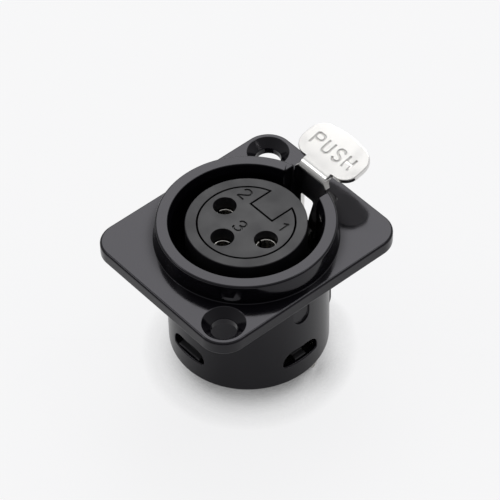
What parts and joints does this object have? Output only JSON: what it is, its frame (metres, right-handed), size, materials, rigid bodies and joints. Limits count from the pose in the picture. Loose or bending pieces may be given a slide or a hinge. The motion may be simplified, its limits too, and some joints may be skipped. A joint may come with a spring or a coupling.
{
  "type": "xlr panel socket",
  "caption": "Female panel-mount audio socket with a flange, a barrel, recessed contacts and a sprung push latch.",
  "frame": {"origin": "on the barrel's axis, in the plane where the flange's rear face meets the panel", "axes": "+Z along the barrel's axis, out of the socket towards the plug; +Y towards the latch; +X to the right as seen from the front with the latch up"},
  "size_m": [0.026, 0.0338, 0.0275],
  "materials": {
    "black_casting": "gloss black over a die casting",
    "black_plastic": "satin moulded",
    "silvered_brass": "silver plated",
    "nickel_plate": "bright nickel over stamped steel",
    "spring_steel": "drawn wire"
  },
  "bodies": {
    "socket": {"shell": "black_casting", "insert_sleeve": "black_plastic", "contact_core": "black_plastic", "contact_1": "silvered_brass", "contact_2": "silvered_brass", "contact_3": "silvered_brass", "rear_plate": "black_plastic", "ground_lug": "silvered_brass", "pivot_pin": "spring_steel", "latch_spring": "spring_steel"},
    "lever": {"latch_lever": "nickel_plate"}
  },
  "joints": [
    {"name": "latch_pivot", "type": "hinge", "parent": "socket", "child": "lever", "pos_m": [0, 0.01005, -0.01327], "axis": [-1, 0, 0], "range_deg": [0, 6], "stiffness_Nm_per_rad": 0.3, "springref_deg": -8.59, "deforming": ["latch_spring"]}
  ]
}
